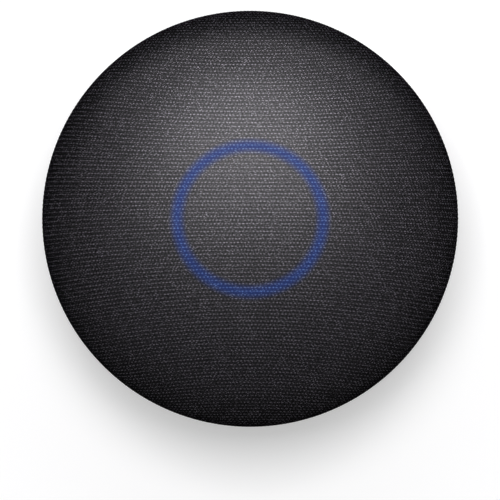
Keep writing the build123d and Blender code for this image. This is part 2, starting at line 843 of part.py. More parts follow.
# Ribbon between the two boards, through the baffle's slot
upper_socket_y = -(ribbon_reach - ribbon_upper_run)
lower_socket_y = -(ribbon_reach - ribbon_lower_run)
upper_ribbon = led_board_bottom - ribbon_socket_height / 2
lower_ribbon = board_top + ribbon_socket_height / 2
with BuildPart() as ribbon_cable:
    with BuildSketch(Plane.YZ):
        with BuildLine():
            FilletPolyline(
                (upper_socket_y, upper_ribbon),
                (-ribbon_reach, upper_ribbon),
                (-ribbon_reach, lower_ribbon),
                (lower_socket_y, lower_ribbon),
                radius=ribbon_bend,
            )
        trace(line_width=ribbon_thickness)
    extrude(amount=ribbon_width / 2, both=True)
finish(ribbon_cable, "ribbon_cable")

with BuildPart() as ribbon_sockets:
    for edge, bottom in ((upper_socket_y, led_board_bottom - ribbon_socket_height),
                         (lower_socket_y, board_top)):
        with BuildSketch(Plane.XY.offset(bottom)):
            with Locations((0, edge + ribbon_socket_width / 2)):
                Rectangle(ribbon_socket_length, ribbon_socket_width)
        extrude(amount=ribbon_socket_height)
finish(ribbon_sockets, "ribbon_sockets")

# Antenna strips around the baffle's skirt
with BuildPart() as wifi_antennas:
    for start in (antenna_angle, 180 - antenna_angle - antenna_arc):
        with BuildSketch(section_plane(start)):
            ring_face(tongue_outer + glue_line, tongue_outer + glue_line + antenna_thickness,
                      deck_top - antenna_height - antenna_drop, deck_top - antenna_drop)
        revolve(axis=Axis.Z, revolution_arc=antenna_arc)
finish(wifi_antennas, "wifi_antennas")

# Power inlet: a steel shell with its contact tongue, soldered on the board's tab
usb_mouth = tub_floor - usb_sink
with BuildPart() as usb_c_socket:
    with BuildSketch(side_plane(90, usb_mouth, port_level)):
        SlotOverall(usb_width, usb_height)
    extrude(amount=-usb_length)
    with BuildSketch(side_plane(90, usb_mouth, port_level)):
        SlotOverall(usb_width - 2 * usb_wall, usb_height - 2 * usb_wall)
    extrude(amount=-usb_cavity, mode=Mode.SUBTRACT)
    with BuildSketch(side_plane(90, usb_mouth - usb_cavity, port_level)):
        RectangleRounded(usb_tongue_width, usb_tongue_height, usb_tongue_height / 3)
    extrude(amount=usb_tongue_length)
finish(usb_c_socket, "usb_c_socket")

# Microphone switch: body on the board, knob in the housing's pocket
knob_foot = mic_floor + knob_lift
switch_face = mic_inner - stem_gap
stem_end = switch_face - mic_switch_slot + stem_gap
with BuildPart() as mic_switch_body:
    with BuildSketch(side_plane(mic_switch_angle, switch_face, board_top + mic_switch_height / 2)):
        Rectangle(mic_pocket_length, mic_switch_height)
    extrude(amount=-mic_switch_depth)
    with BuildSketch(side_plane(mic_switch_angle, switch_face, port_level)):
        Rectangle(knob_stem_length + knob_travel + 2 * stem_gap, knob_stem_width + 2 * stem_gap)
    extrude(amount=-mic_switch_slot, mode=Mode.SUBTRACT)
finish(mic_switch_body, "mic_switch_body")

with BuildPart() as mic_switch_knob:
    with BuildSketch(side_plane(mic_switch_angle, knob_foot, port_level)):
        with Locations((-knob_travel / 2, 0)):
            RectangleRounded(knob_length, knob_width, knob_round)
    extrude(amount=knob_height)
    with BuildSketch(side_plane(mic_switch_angle, knob_foot + knob_height, port_level)):
        with Locations((-knob_travel / 2, 0)):
            with GridLocations(knob_length / 5, 0, 3, 1):
                Rectangle(knob_length / 10, knob_width)
    extrude(amount=-knob_height / 4, mode=Mode.SUBTRACT)
    with BuildSketch(side_plane(mic_switch_angle, stem_end, port_level)):
        with Locations((-knob_travel / 2, 0)):
            Rectangle(knob_stem_length, knob_stem_width)
    extrude(amount=knob_foot - stem_end)
finish(mic_switch_knob, "mic_switch_knob")

# Reset: a push button with a flange behind the wall, in front of its switch
flange_face = reset_inner - glue_line
plunger_end = flange_face - reset_flange_wall - reset_travel - plunger_gap
reset_switch_face = plunger_end - plunger_length
with BuildPart() as reset_button:
    with BuildSketch(side_plane(reset_angle, flange_face, port_level)):
        Circle(reset_radius)
    extrude(amount=reset_floor + reset_height - flange_face)
    fillet(reset_button.edges().filter_by(GeomType.CIRCLE).sort_by_distance((0, 0, port_level))[-1],
           reset_round)
    with BuildSketch(side_plane(reset_angle, flange_face, port_level)):
        Circle(reset_radius + reset_flange)
    extrude(amount=-reset_flange_wall)
finish(reset_button, "reset_button")

with BuildPart() as reset_switch:
    with BuildSketch(side_plane(reset_angle, reset_switch_face, board_top + reset_switch_height / 2)):
        Rectangle(reset_switch_width, reset_switch_height)
    extrude(amount=-reset_switch_depth)
    with BuildSketch(side_plane(reset_angle, reset_switch_face, port_level)):
        Circle(reset_plunger)
    extrude(amount=plunger_length)
finish(reset_switch, "reset_switch")

# Hollow of the base, less the blocks behind the inlet and the controls
with BuildPart() as housing_core:
    with BuildSketch(Plane.XZ):
        body_face(cavity_inset, floor_top)
        ring_face(0, radius, seam_height - rim_thickness, waist_height + dome_height, mode=Mode.SUBTRACT)
        ring_face(0, tongue_inner, seam_height - rim_thickness, tongue_top)
    revolve(axis=Axis.Z)
    fillet(housing_core.edges().group_by(Axis.Z)[0], base_round - housing_wall)
    with BuildSketch(side_plane(90, tub_inner, port_level)):
        SlotOverall(tub_width + 2 * tub_wall, tub_height + 2 * tub_wall)
    extrude(amount=radius, mode=Mode.SUBTRACT)
    with BuildSketch(side_plane(mic_switch_angle, mic_inner, port_level)):
        RectangleRounded(mic_pocket_length + 2 * pad_border, mic_pocket_width + 2 * pad_border,
                         knob_round + knob_gap + pad_border)
    extrude(amount=radius, mode=Mode.SUBTRACT)
    with BuildSketch(side_plane(reset_angle, reset_inner, port_level)):
        Circle(reset_pocket + pad_border)
    extrude(amount=radius, mode=Mode.SUBTRACT)

# Moulded base
with BuildPart() as lower_housing:
    with BuildSketch(Plane.XZ):
        body_face(housing_inset, base_lift)
        ring_face(0, radius, seam_height, waist_height + dome_height, mode=Mode.SUBTRACT)
    revolve(axis=Axis.Z)
    fillet(lower_housing.edges().group_by(Axis.Z)[0], base_round)
    fillet(lower_housing.edges().group_by(Axis.Z)[-1], hem_round / 2)
    with BuildSketch(Plane.XZ):
        ring_face(tongue_inner, tongue_outer, seam_height - rim_thickness / 2, tongue_top)
    revolve(axis=Axis.Z)
    add(housing_core.part, mode=Mode.SUBTRACT)
    with BuildSketch(Plane.XY.offset(base_lift)):
        Circle(foot_radius + 2 * glue_line)
    extrude(amount=foot_sink, mode=Mode.SUBTRACT)
    pins(post_points, post_boss, foot_top, post_seat)
    pins(post_points, large_head + screw_clearance, foot_top, screw_seat, Mode.SUBTRACT)
    pins(post_points, large_shank + screw_clearance, screw_seat, post_seat, Mode.SUBTRACT)
    pins(board_points, board_boss_radius, floor_top, board_bottom)
    board_pilot = board_top - board_screw_length - screw_tip_gap
    pins(board_points, small_shank + thread_fit, board_pilot, board_bottom, Mode.SUBTRACT)
    with BuildSketch(side_plane(90, tub_floor, port_level)):
        SlotOverall(tub_width, tub_height)
    extrude(amount=radius, mode=Mode.SUBTRACT)
    with BuildSketch(side_plane(90, tub_inner, port_level)):
        SlotOverall(usb_width + 2 * usb_fit, usb_height + 2 * usb_fit)
    extrude(amount=tub_wall, mode=Mode.SUBTRACT)
    with BuildSketch(side_plane(mic_switch_angle, mic_floor, port_level)):
        RectangleRounded(mic_pocket_length, mic_pocket_width, knob_round + knob_gap)
    extrude(amount=radius, mode=Mode.SUBTRACT)
    with BuildSketch(side_plane(mic_switch_angle, mic_inner, port_level)):
        Rectangle(knob_stem_length + knob_travel + 2 * stem_gap, knob_stem_width + 2 * stem_gap)
    extrude(amount=pad_wall, mode=Mode.SUBTRACT)
    with BuildSketch(side_plane(reset_angle, reset_floor, port_level)):
        Circle(reset_pocket)
    extrude(amount=radius, mode=Mode.SUBTRACT)
    with BuildSketch(side_plane(reset_angle, reset_inner, port_level)):
        Circle(reset_radius + reset_gap)
    extrude(amount=pad_wall, mode=Mode.SUBTRACT)
finish(lower_housing, "lower_housing")

with BuildPart() as housing_screws:
    screws(post_points, screw_seat, housing_screw_length, large_shank, large_head, large_head_height, 1)
finish(housing_screws, "housing_screws")

# Rubber foot over the screws, with two grooves in its tread
with BuildPart() as foot_pad:
    with BuildSketch(Plane.XZ):
        ring_face(0, foot_radius, 0, foot_top)
        for share in foot_grooves:
            groove = share * foot_radius
            ring_face(groove - foot_groove_width / 2, groove + foot_groove_width / 2, 0, foot_groove_depth,
                      mode=Mode.SUBTRACT)
    revolve(axis=Axis.Z)
    fillet(foot_pad.edges().group_by(Axis.Z)[0].sort_by(SortBy.RADIUS)[-1], base_lift / 3)
finish(foot_pad, "foot_pad")
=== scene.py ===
import math
import bpy
import numpy as np
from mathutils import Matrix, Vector


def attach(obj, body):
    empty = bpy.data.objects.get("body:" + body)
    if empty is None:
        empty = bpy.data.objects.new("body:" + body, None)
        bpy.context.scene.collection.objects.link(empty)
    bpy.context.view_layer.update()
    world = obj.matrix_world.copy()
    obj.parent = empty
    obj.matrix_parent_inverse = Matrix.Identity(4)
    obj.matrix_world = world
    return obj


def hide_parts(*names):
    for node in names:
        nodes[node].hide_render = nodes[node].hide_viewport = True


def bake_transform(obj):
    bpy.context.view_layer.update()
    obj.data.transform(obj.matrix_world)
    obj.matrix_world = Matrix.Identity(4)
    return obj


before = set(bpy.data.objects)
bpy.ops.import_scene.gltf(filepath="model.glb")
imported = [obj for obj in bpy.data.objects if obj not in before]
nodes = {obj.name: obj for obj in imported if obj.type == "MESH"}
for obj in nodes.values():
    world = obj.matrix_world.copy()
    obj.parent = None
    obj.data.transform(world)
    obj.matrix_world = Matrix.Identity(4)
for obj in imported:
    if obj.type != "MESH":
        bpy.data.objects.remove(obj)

mm = 0.001
halfTurn, fullTurn = math.pi, 2 * math.pi
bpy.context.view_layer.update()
print("frame loaded:", len(nodes), "nodes")


class Wire:  # an output socket, so that shader maths reads as plain arithmetic
    def __init__(self, paint, socket):
        self.paint = paint
        self.socket = socket

    def maths(self, operation, *others):
        inputs = dict(enumerate((self,) + others))
        return self.paint.add("ShaderNodeMath", {"operation": operation}, inputs)

    def __add__(self, other):
        return self.maths("ADD", other)

    def __mul__(self, other):
        return self.maths("MULTIPLY", other)

    def __sub__(self, other):
        return self.maths("SUBTRACT", other)

    def __rsub__(self, other):
        return self * -1 + other

    __radd__ = __add__
    __rmul__ = __mul__

    def cos(self):
        return self.maths("COSINE")

    def abs(self):
        return self.maths("ABSOLUTE")

    def root(self):
        return self.maths("SQRT")

    def floor(self):
        return self.maths("FLOOR")

    def fract(self):
        return self.maths("FRACT")

    def orMore(self, other):
        return self.maths("MAXIMUM", other)

    def above(self, edge, soft):  # 0 below the edge and 1 above it, with a soft step
        limits = {0: self, 1: edge - soft, 2: edge + soft}
        return self.paint.add("ShaderNodeMapRange", {"interpolation_type": "SMOOTHSTEP"}, limits)

    def within(self, middle, half, soft):  # 1 near the middle and 0 elsewhere
        return 1 - (self - middle).abs().above(half, soft)


class Paint:  # one material and its nodes
    def __init__(self, name, specular=0.5):
        self.material = bpy.data.materials.new(name)
        self.material.use_nodes = True
        self.tree = self.material.node_tree
        self.shader = self.tree.nodes["Principled BSDF"]
        self.shader.inputs["Specular IOR Level"].default_value = specular
        self.place = self.add("ShaderNodeTexCoord", out="Object")
        self.axes = self.split(self.place)
        self.x, self.y, self.z = self.axes

    def add(self, kind, settings=None, inputs=None, out=0):
        node = self.tree.nodes.new(kind)
        for name, value in (settings or {}).items():
            setattr(node, name, value)
        for name, value in (inputs or {}).items():
            self.feed(node.inputs[name], value)
        if isinstance(out, list):
            return [Wire(self, node.outputs[name]) for name in out]
        return Wire(self, node.outputs[out])

    def feed(self, socket, value):
        if isinstance(value, Wire):
            self.tree.links.new(value.socket, socket)
        else:
            socket.default_value = value

    def set(self, **sockets):  # baseColor=... feeds Base Color
        for name, value in sockets.items():
            label = "".join(" " + letter if letter.isupper() else letter for letter in name).title()
            self.feed(self.shader.inputs[label], value)
        return self.material

    def split(self, vector):
        return self.add("ShaderNodeSeparateXYZ", None, {0: vector}, out=["X", "Y", "Z"])

    def reach(self):  # distance from the upright axis
        return (self.x * self.x + self.y * self.y).root()

    def turn(self):  # angle about the upright axis
        return self.y.maths("ARCTAN2", self.x)

    def noise(self, size, detail=2.0, stretch=(1, 1, 1)):
        scale = [1 / (size * share) for share in stretch]
        placed = self.add("ShaderNodeMapping", None, {"Vector": self.place, "Scale": scale})
        return self.add("ShaderNodeTexNoise", None, {"Vector": placed, "Scale": 1.0, "Detail": detail})

    def chance(self, across, along):  # a steady random value for each pair
        pair = self.add("ShaderNodeCombineXYZ", None, {0: across, 1: along})
        return self.add("ShaderNodeTexWhiteNoise", {"noise_dimensions": "2D"}, {"Vector": pair})

    def specks(self, size):  # a steady random value for each small cube
        cube = self.add("ShaderNodeVectorMath", {"operation": "SNAP"}, {0: self.place, 1: [size] * 3})
        return self.add("ShaderNodeTexWhiteNoise", {"noise_dimensions": "3D"}, {"Vector": cube})

    def cells(self, size):
        inputs = {"Vector": self.place, "Scale": 1 / size}
        return self.add("ShaderNodeTexVoronoi", {"feature": "F1"}, inputs)

    def mix(self, share, first, second):
        return self.add("ShaderNodeMix", {"data_type": "RGBA"}, {0: share, 6: first, 7: second}, out=2)

    def shade(self, colour, factor):  # a colour times a value
        first = colour if isinstance(colour, Wire) else colour[:3]
        return self.add("ShaderNodeVectorMath", {"operation": "SCALE"}, {0: first, "Scale": factor})

    def bump(self, height, depth, strength=0.5):
        inputs = {"Strength": strength, "Distance": depth, "Height": height}
        return self.add("ShaderNodeBump", None, inputs)


def rgb(red, green, blue):
    return (red, green, blue, 1.0)


def only(piece):  # the one selected and active object
    bpy.ops.object.select_all(action="DESELECT")
    piece.select_set(True)
    bpy.context.view_layer.objects.active = piece


def places(piece):  # a mesh's points, and their distance from the upright axis
    points = np.empty(len(piece.data.vertices) * 3, np.float32)
    piece.data.vertices.foreach_get("co", points)
    points = points.reshape(-1, 3).astype(float)
    return points, np.hypot(points[:, 0], points[:, 1])


def arc(centre, radius, first, last, count):
    turn = np.radians(np.linspace(first, last, count))
    return np.array(centre) + np.column_stack([np.cos(turn), np.sin(turn)]) * radius


# Cloth cover: a knitted sheet stretched over the dome and tucked in at the seam
cloth = {
    "rowPitch": 0.896 * mm,
    "stitchPitch": 0.841 * mm,
    "rowSpread": 0.20,           # rows part towards the sides
    "stitchSpread": 0.12,        # stitches part towards the front and the rear
    "spreadEnd": 1.4,            # where they part no further, as a share of the radius
    "neutralRow": 0.12,          # straight row, behind the middle, as a share of the radius
    "settling": 25,              # rounds that settle the rows and the stitches against each other
    "relief": 0.05 * mm,         # stitches above the middle of the cloth
    "plainEdge": (6 * mm, 4 * mm),   # the relief fades out between these distances from the edge
    "rowShare": 0.51,            # how far the stitches close up into rows
    "steps": 2,                  # mesh steps in a stitch, each way
    "spare": (1.02, 1.12),       # grid's stitches and rows, as shares of those in the cut
    "mapBorder": 1.01,
    "bellyDepth": 40.0 * mm,
    "hemRound": 0.8 * mm,
    "foldReach": 45.0 * mm,
    "foldRound": 0.7 * mm,
    "foldHeight": 1.6 * mm,
    "domeSteps": 400,
    "bellySteps": 120,
    "hemSteps": 30,
    "foldSteps": 20,
}
yarn = {
    "thread": rgb(0.0905, 0.0848, 0.0983),
    # gap: the dark backing seen through the knit, darkened further as painted shade in the pores
    "gap": rgb(0.0022, 0.0021, 0.0024),
    "lean": (0.56, 0.42),        # share of stitches that lean to the right, and its change over a radius
    "narrow": 0.90,              # how far a stitch is narrower than its row
    "strands": 0.48,             # how far a stitch parts into two strands
    "edge": (0.66, 0.24),        # where thread gives way to gap, and how softly
    "wander": 1.6 * mm,          # length over which the yarn strays
    "wanderSkew": (1.13, 1.24, 1.13),    # so that rows stray apart from stitches
    "strays": (0.20, 0.06),      # how far, in stitches and in rows
    "fibres": (3.9, 4.2),        # side by side in a stitch and in a row
    "heather": 3.2 * mm,         # slow change from light to dark yarn
    "heatherStretch": (2.4, 0.6, 1.0),
    "slub": 0.20 * mm,           # uneven yarn, drawn out along the rows
    "slubStretch": (1.3, 1.0, 1.0),
    "fleck": 0.17 * mm,          # single fibres
    "fuzz": 0.16 * mm,
    "rim": (44 * mm, 8 * mm),    # painted shade: the knit is darkened where it turns over the rim
    "rimPaintedShade": 0.62,
    "underRim": (20.5 * mm, 3 * mm),     # height below which the painted shade weakens
    "underShare": 0.3,           # and what is left of it there
    "roughness": 0.9,
}
lumps = {"slub": 1.3, "fibre": 1.12}     # how far each raises a stitch
shades = {"least": 0.60, "chance": 0.55, "heather": 0.35, "slub": 1.2, "fleck": 1.3, "fibre": 2.9}
sheen = {
    "gap": 0.51,
    "stitch": 0.52,
    "chance": 0.24,
    "fleck": 0.42,
    "fibre": 0.8,
    "rim": (45.5 * mm, 4.5 * mm),
    "lit": 0.8,                  # share that is lost over the light ring
    "roughness": 0.43,
    "index": 1.66,
}
nap = {"wave": 0.5, "fuzz": 0.2, "depth": 0.10 * mm, "strength": 0.7}
lamp = {
    "radius": 17.40 * mm,
    "width": 2.36 * mm,
    "soft": 1.20 * mm,
    "thread": rgb(0.038, 0.070, 0.138),
    "gap": rgb(0.004, 0.012, 0.040),
    "threadGlow": rgb(0.051, 0.085, 0.234),
    "gapGlow": rgb(0.0165, 0.0265, 0.113),
    "strength": 1.05,
    "rearPaintedLight": 0.26,           # painted light: the glow is made stronger at the rear, where the softbox lights the cloth more
}


def clothProfile():  # the cloth's run from the crown to its edge in the fold, as reach and height
    points, reach = places(nodes["fabric_cover"])
    radius = reach.max()
    waist = points[reach > radius - 0.001 * mm, 2].mean()
    hem, crown = points[:, 2].min(), points[:, 2].max()
    hemRound, foldRound, steps = cloth["hemRound"], cloth["foldRound"], cloth["hemSteps"]
    dome = arc((0, waist), (radius, crown - waist), 90, 0, cloth["domeSteps"])
    drop = math.degrees(math.asin((waist - hem - hemRound) / cloth["bellyDepth"]))
    belly = arc((0, waist), (radius, cloth["bellyDepth"]), 0, -drop, cloth["bellySteps"])
    hemTurn = arc(belly[-1] - (hemRound, 0), hemRound, 0, -90, steps)
    foldTurn = arc((cloth["foldReach"] + foldRound, hem + foldRound), foldRound, -90, -180, steps)
    under = np.linspace(hemTurn[-1], foldTurn[0], steps)
    fold = np.linspace(foldTurn[-1], foldTurn[-1] + (0, cloth["foldHeight"]), cloth["foldSteps"])
    path = np.concatenate([dome, belly[1:], hemTurn[1:], under[1:], foldTurn[1:], fold[1:]])
    run = np.concatenate([[0], np.cumsum(np.hypot(*np.diff(path, axis=0).T))])
    return radius, waist, path, run


def layKnit(across, along, radius):  # the knit laid out flat, with its rows and stitches parted
    x = across * cloth["stitchPitch"]
    y = along * cloth["rowPitch"]
    end = cloth["spreadEnd"]
    for settle in range(cloth["settling"]):
        lengthways = np.clip(y / radius, -end, end) ** 2
        x = across * cloth["stitchPitch"] / (1 - cloth["stitchSpread"] * lengthways)
        sideways = np.clip(x / radius, -end, end) ** 2
        y = along * cloth["rowPitch"] / (1 - cloth["rowSpread"] * sideways)
        y = y + cloth["neutralRow"] * radius
    return x, y


def makeCloth(radius, path, run):
    cut = run[-1]
    stitches, rows = [math.ceil(share * cut / pitch) for share, pitch in zip(
        cloth["spare"], (cloth["stitchPitch"], cloth["rowPitch"]))]
    bpy.ops.object.select_all(action="DESELECT")
    bpy.ops.mesh.primitive_grid_add(
        x_subdivisions=2 * stitches * cloth["steps"], y_subdivisions=2 * rows * cloth["steps"], size=2)
    piece = bpy.context.object
    piece.name = "clothCover"
    mesh = piece.data
    flat = places(piece)[0]
    across, along = flat[:, 0] * stitches, flat[:, 1] * rows
    x, y = layKnit(across, along, radius)
    # each point goes down the dome by its flat distance from the middle, and stitches stand up
    reach = np.hypot(x, y)
    level = np.clip(reach, 0, cut)
    slope = np.gradient(path, run, axis=0)
    slope /= np.linalg.norm(slope, axis=1)[:, None]
    outward = np.interp(level, run, -slope[:, 1]), np.interp(level, run, slope[:, 0])
    tucked = np.interp(level, [cut - distance for distance in cloth["plainEdge"]], [1, 0])
    rowWave = np.cos(fullTurn * along)
    stitchWave = np.cos(fullTurn * across) * np.cos(halfTurn * along)
    wave = cloth["rowShare"] * rowWave + (1 - cloth["rowShare"]) * stitchWave
    lift = (wave - 1) * cloth["relief"] * tucked
    ring = np.interp(level, run, path[:, 0]) + lift * outward[0]
    height = np.interp(level, run, path[:, 1]) + lift * outward[1]
    turn = np.arctan2(y, x)
    placed = np.column_stack([ring * np.cos(turn), ring * np.sin(turn), height])
    mesh.vertices.foreach_set("co", placed.astype(np.float32).ravel())
    # one map for the bake, and one in stitches and rows for the pattern
    corner = np.empty(len(mesh.loops), np.int32)
    mesh.loops.foreach_get("vertex_index", corner)
    for layer in list(mesh.uv_layers):
        mesh.uv_layers.remove(layer)
    maps = {
        "OFBake": np.column_stack([x, y]) / (2 * cloth["mapBorder"] * cut) + 0.5,
        "weave": np.column_stack([across, along]),
    }
    for name, where in maps.items():
        mesh.uv_layers.new(name=name).data.foreach_set("uv", where[corner].astype(np.float32).ravel())
    # the sheet is trimmed to a round inside the fold
    only(piece)
    bpy.ops.object.mode_set(mode="EDIT")
    bpy.ops.mesh.select_mode(type="VERT")
    bpy.ops.mesh.select_all(action="DESELECT")
    bpy.ops.object.mode_set(mode="OBJECT")
    mesh.vertices.foreach_set("select", reach > cut)
    bpy.ops.object.mode_set(mode="EDIT")
    bpy.ops.mesh.delete(type="VERT")
    bpy.ops.object.mode_set(mode="OBJECT")
    bpy.ops.object.shade_smooth()
    return piece


def clothFinish():
    paint = Paint("knitted cloth", specular=0.0)
    weave = paint.add("ShaderNodeUVMap", {"uv_map": "weave"})
    stitches, rows = paint.split(weave)[:2]
    strayAcross, strayAlong = yarn["strays"]
    across = stitches + (paint.noise(yarn["wander"], 1.0) - 0.5) * strayAcross
    along = rows + (paint.noise(yarn["wander"], 1.0, yarn["wanderSkew"]) - 0.5) * strayAlong
    # waves that are 1 on a stitch and -1 in a gap
    rowTurn, stitchTurn = along * halfTurn, across * fullTurn
    lean, leanChange = yarn["lean"]
    toRight = paint.x * (leanChange / clothRadius) + lean
    leaning = (rowTurn + stitchTurn).cos() * toRight + (rowTurn - stitchTurn).cos() * (1 - toRight)
    wave = (rowTurn * 2).cos() * cloth["rowShare"] + leaning * (1 - cloth["rowShare"])
    narrow = stitchTurn.cos() * (rowTurn * 3).cos()
    strands = (rowTurn * 4).cos()
    # every stitch has its own shade
    row = (along + 0.5).floor()
    stitch = (across + (row * 0.5).fract() + 0.5).floor()
    chance = paint.chance(stitch, row)
    # light and dark fibres lie side by side in it, each set off from the four around it
    inStitch, inRow = [(wire * count).floor() for wire, count in zip((stitches, rows), yarn["fibres"])]
    before, after = [
        paint.chance(inStitch + step, inRow) + paint.chance(inStitch, inRow + step) for step in (-1, 1)]
    fibre = paint.chance(inStitch, inRow) - (before + after) * 0.25
    heather = paint.noise(yarn["heather"], 3.0, yarn["heatherStretch"]) - 0.5
    slub = paint.noise(yarn["slub"], 2.0, yarn["slubStretch"]) - 0.5
    fleck = paint.specks(yarn["fleck"]) - 0.5
    fuzz = paint.noise(yarn["fuzz"])
    reach = paint.reach()
    height = (wave + narrow * yarn["narrow"] + strands * yarn["strands"]
              + slub * lumps["slub"] + fibre * lumps["fibre"])
    onStitch = height.above(*yarn["edge"])
    shade = (shades["least"] + chance * shades["chance"] + heather * shades["heather"]
             + slub * shades["slub"] + fleck * shades["fleck"] + fibre * shades["fibre"])
    # painted shade: the knit's colour is darkened over the rim, less so below the waist
    overRim = yarn["underShare"] + paint.z.above(*yarn["underRim"]) * (1 - yarn["underShare"])
    shade = shade.orMore(0) * (1 - reach.above(*yarn["rim"]) * overRim * yarn["rimPaintedShade"])
    # the ring's light comes up through the knit
    lit = reach.within(lamp["radius"], lamp["width"] / 2, lamp["soft"])
    # between stitches: the dark backing, with painted shade in the pores
    knit = paint.mix(onStitch, yarn["gap"], paint.shade(yarn["thread"], shade))
    litKnit = paint.mix(onStitch, lamp["gap"], paint.shade(lamp["thread"], shade))
    # painted light: the ring's glow grows towards the rear, standing in for the softbox's light there
    strength = lit * (lamp["strength"] + paint.y * (lamp["rearPaintedLight"] / lamp["radius"]))
    glow = paint.shade(paint.mix(onStitch, lamp["gapGlow"], lamp["threadGlow"]), strength)
    gloss = (sheen["gap"] + onStitch * (sheen["stitch"] + chance * sheen["chance"])
             + fleck * sheen["fleck"] + fibre * sheen["fibre"])
    gloss = gloss * (1 - reach.above(*sheen["rim"]) * overRim) * (1 - lit * sheen["lit"])
    relief = paint.bump(wave * nap["wave"] + fuzz * nap["fuzz"], nap["depth"], nap["strength"])
    paint.set(roughness=yarn["roughness"], coatRoughness=sheen["roughness"], emissionStrength=1.0)
    paint.shader.inputs["Coat IOR"].default_value = sheen["index"]
    return paint.set(baseColor=paint.mix(lit, knit, litKnit), coatWeight=gloss, emissionColor=glow,
                     normal=relief)


clothRadius, clothWaist, clothPath, clothRun = clothProfile()
clothCover = makeCloth(clothRadius, clothPath, clothRun)
clothCover.data.materials.clear()
clothCover.data.materials.append(clothFinish())
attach(clothCover, "housing")
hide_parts("fabric_cover")
print("cloth cover:", len(clothCover.data.polygons), "faces")


# The driver's flexing rings, spun from their cross-sections; in the driver the inner edge goes with the
# cone, and the outer edge stays with the basket
roll = {
    "level": 26.4 * mm,
    "wall": 0.4 * mm,
    "lands": (12.95 * mm, 18.5 * mm),    # glued to the cone's lip and to the basket's flange
    "middle": 15.25 * mm,
    "halfWidth": 1.35 * mm,
    "flexes": (13.9 * mm, 16.6 * mm),
    "steps": 25,
    "around": 128,
}
corrugation = {
    "level": 20.0 * mm,
    "wall": 0.35 * mm,
    "lands": (6.4 * mm, 12.8 * mm),      # glued to the coil's former and to the basket's shelf
    "flexes": (7.0 * mm, 11.35 * mm),
    "waves": 3,
    "swell": 0.4 * mm,
    "steps": 16,                         # in a wave
    "around": 128,
}


def rollSection():  # a half round with a flat land on either side
    inner, outer = roll["lands"]
    level, wall = roll["level"], roll["wall"]
    over = roll["halfWidth"] + wall
    foot = math.degrees(math.asin(wall / over))
    underside = arc((roll["middle"], level), roll["halfWidth"], 180, 0, roll["steps"])
    top = arc((roll["middle"], level), over, foot, 180 - foot, roll["steps"])
    return [(inner, level), *underside, (outer, level),
            (outer, level + wall), *top, (inner, level + wall)]


def waveSection():  # ripples between a collar and a flat land
    inner, outer = corrugation["lands"]
    first, last = corrugation["flexes"]
    ripple = np.linspace(first, last, corrugation["waves"] * corrugation["steps"] + 1)
    reach = np.array([inner, *ripple, outer])
    turn = np.clip((reach - first) / (last - first), 0, 1) * corrugation["waves"] * fullTurn
    underside = np.column_stack([reach, corrugation["level"] + corrugation["swell"] * np.sin(turn)])
    return [*underside, *(underside[::-1] + (0, corrugation["wall"]))]


def makeRing(name, section, settings, node):
    bpy.ops.object.select_all(action="DESELECT")
    bpy.ops.mesh.primitive_circle_add(vertices=len(section), radius=1.0, calc_uvs=False)
    ring = bpy.context.object
    ring.name = name
    for vertex, (reach, height) in zip(ring.data.vertices, section):
        vertex.co = (reach, 0, height)
    bpy.ops.object.mode_set(mode="EDIT")
    bpy.ops.mesh.select_all(action="SELECT")
    bpy.ops.mesh.spin(steps=settings["around"], angle=fullTurn, center=(0, 0, 0), axis=(0, 0, 1))
    bpy.ops.mesh.select_all(action="SELECT")
    bpy.ops.mesh.remove_doubles(threshold=0.001 * mm)
    bpy.ops.mesh.normals_make_consistent(inside=False)
    bpy.ops.object.mode_set(mode="OBJECT")
    bpy.ops.object.shade_smooth_by_angle(angle=math.radians(40))
    moves, stays = settings["flexes"]
    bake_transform(ring)
    share = np.clip((stays - places(ring)[1]) / (stays - moves), 0, 1)
    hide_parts(node)
    print(name + ":", len(ring.data.polygons), "faces")
    return ring


surroundRoll = makeRing("surroundRoll", rollSection(), roll, "surround")
spiderDisc = makeRing("spiderDisc", waveSection(), corrugation, "spider")


# Finishes of the moulded, metal and board parts. A recipe starts from its least shade or roughness, and
# each pattern adds its share, as in 0.9 + speck * 0.2
moulding = {
    "cloud": 14 * mm,
    "shades": (0.80, 0.22, 0.18),        # least, fine grain and clouds
    "roughSpread": 0.12,
    "strength": 0.7,
}


def mouldedPaint(name, colour, grain, depth, roughness, specular=0.4):
    paint = Paint(name, specular)
    fine = paint.noise(grain, 3.0)
    cloud = paint.noise(moulding["cloud"])
    least, byGrain, byCloud = moulding["shades"]
    spread = moulding["roughSpread"]
    paint.set(roughness=roughness - spread / 2 + fine * spread,
              normal=paint.bump(fine, depth, moulding["strength"]))
    return paint, paint.shade(colour, least + fine * byGrain + cloud * byCloud)


def mouldedFinish(*settings):
    paint, colour = mouldedPaint(*settings)
    return paint.set(baseColor=colour)


base = {"colour": rgb(0.028, 0.0283, 0.031), "grain": 0.32 * mm, "depth": 0.05 * mm, "roughness": 0.52}
micMark = {
    "colour": rgb(0.72, 0.10, 0.015),
    "turn": math.radians(130),   # of the switch about the upright axis
    "floor": 43.38 * mm,         # pocket's floor, from the axis
    "floorHalf": 0.12 * mm,
    "floorSoft": 0.02 * mm,
    "level": 8.33 * mm,
    "aside": -2.5 * mm,          # middle of the mark, under the knob at rest
    "half": (1.1 * mm, 1.8 * mm),
    "soft": 0.03 * mm,
}


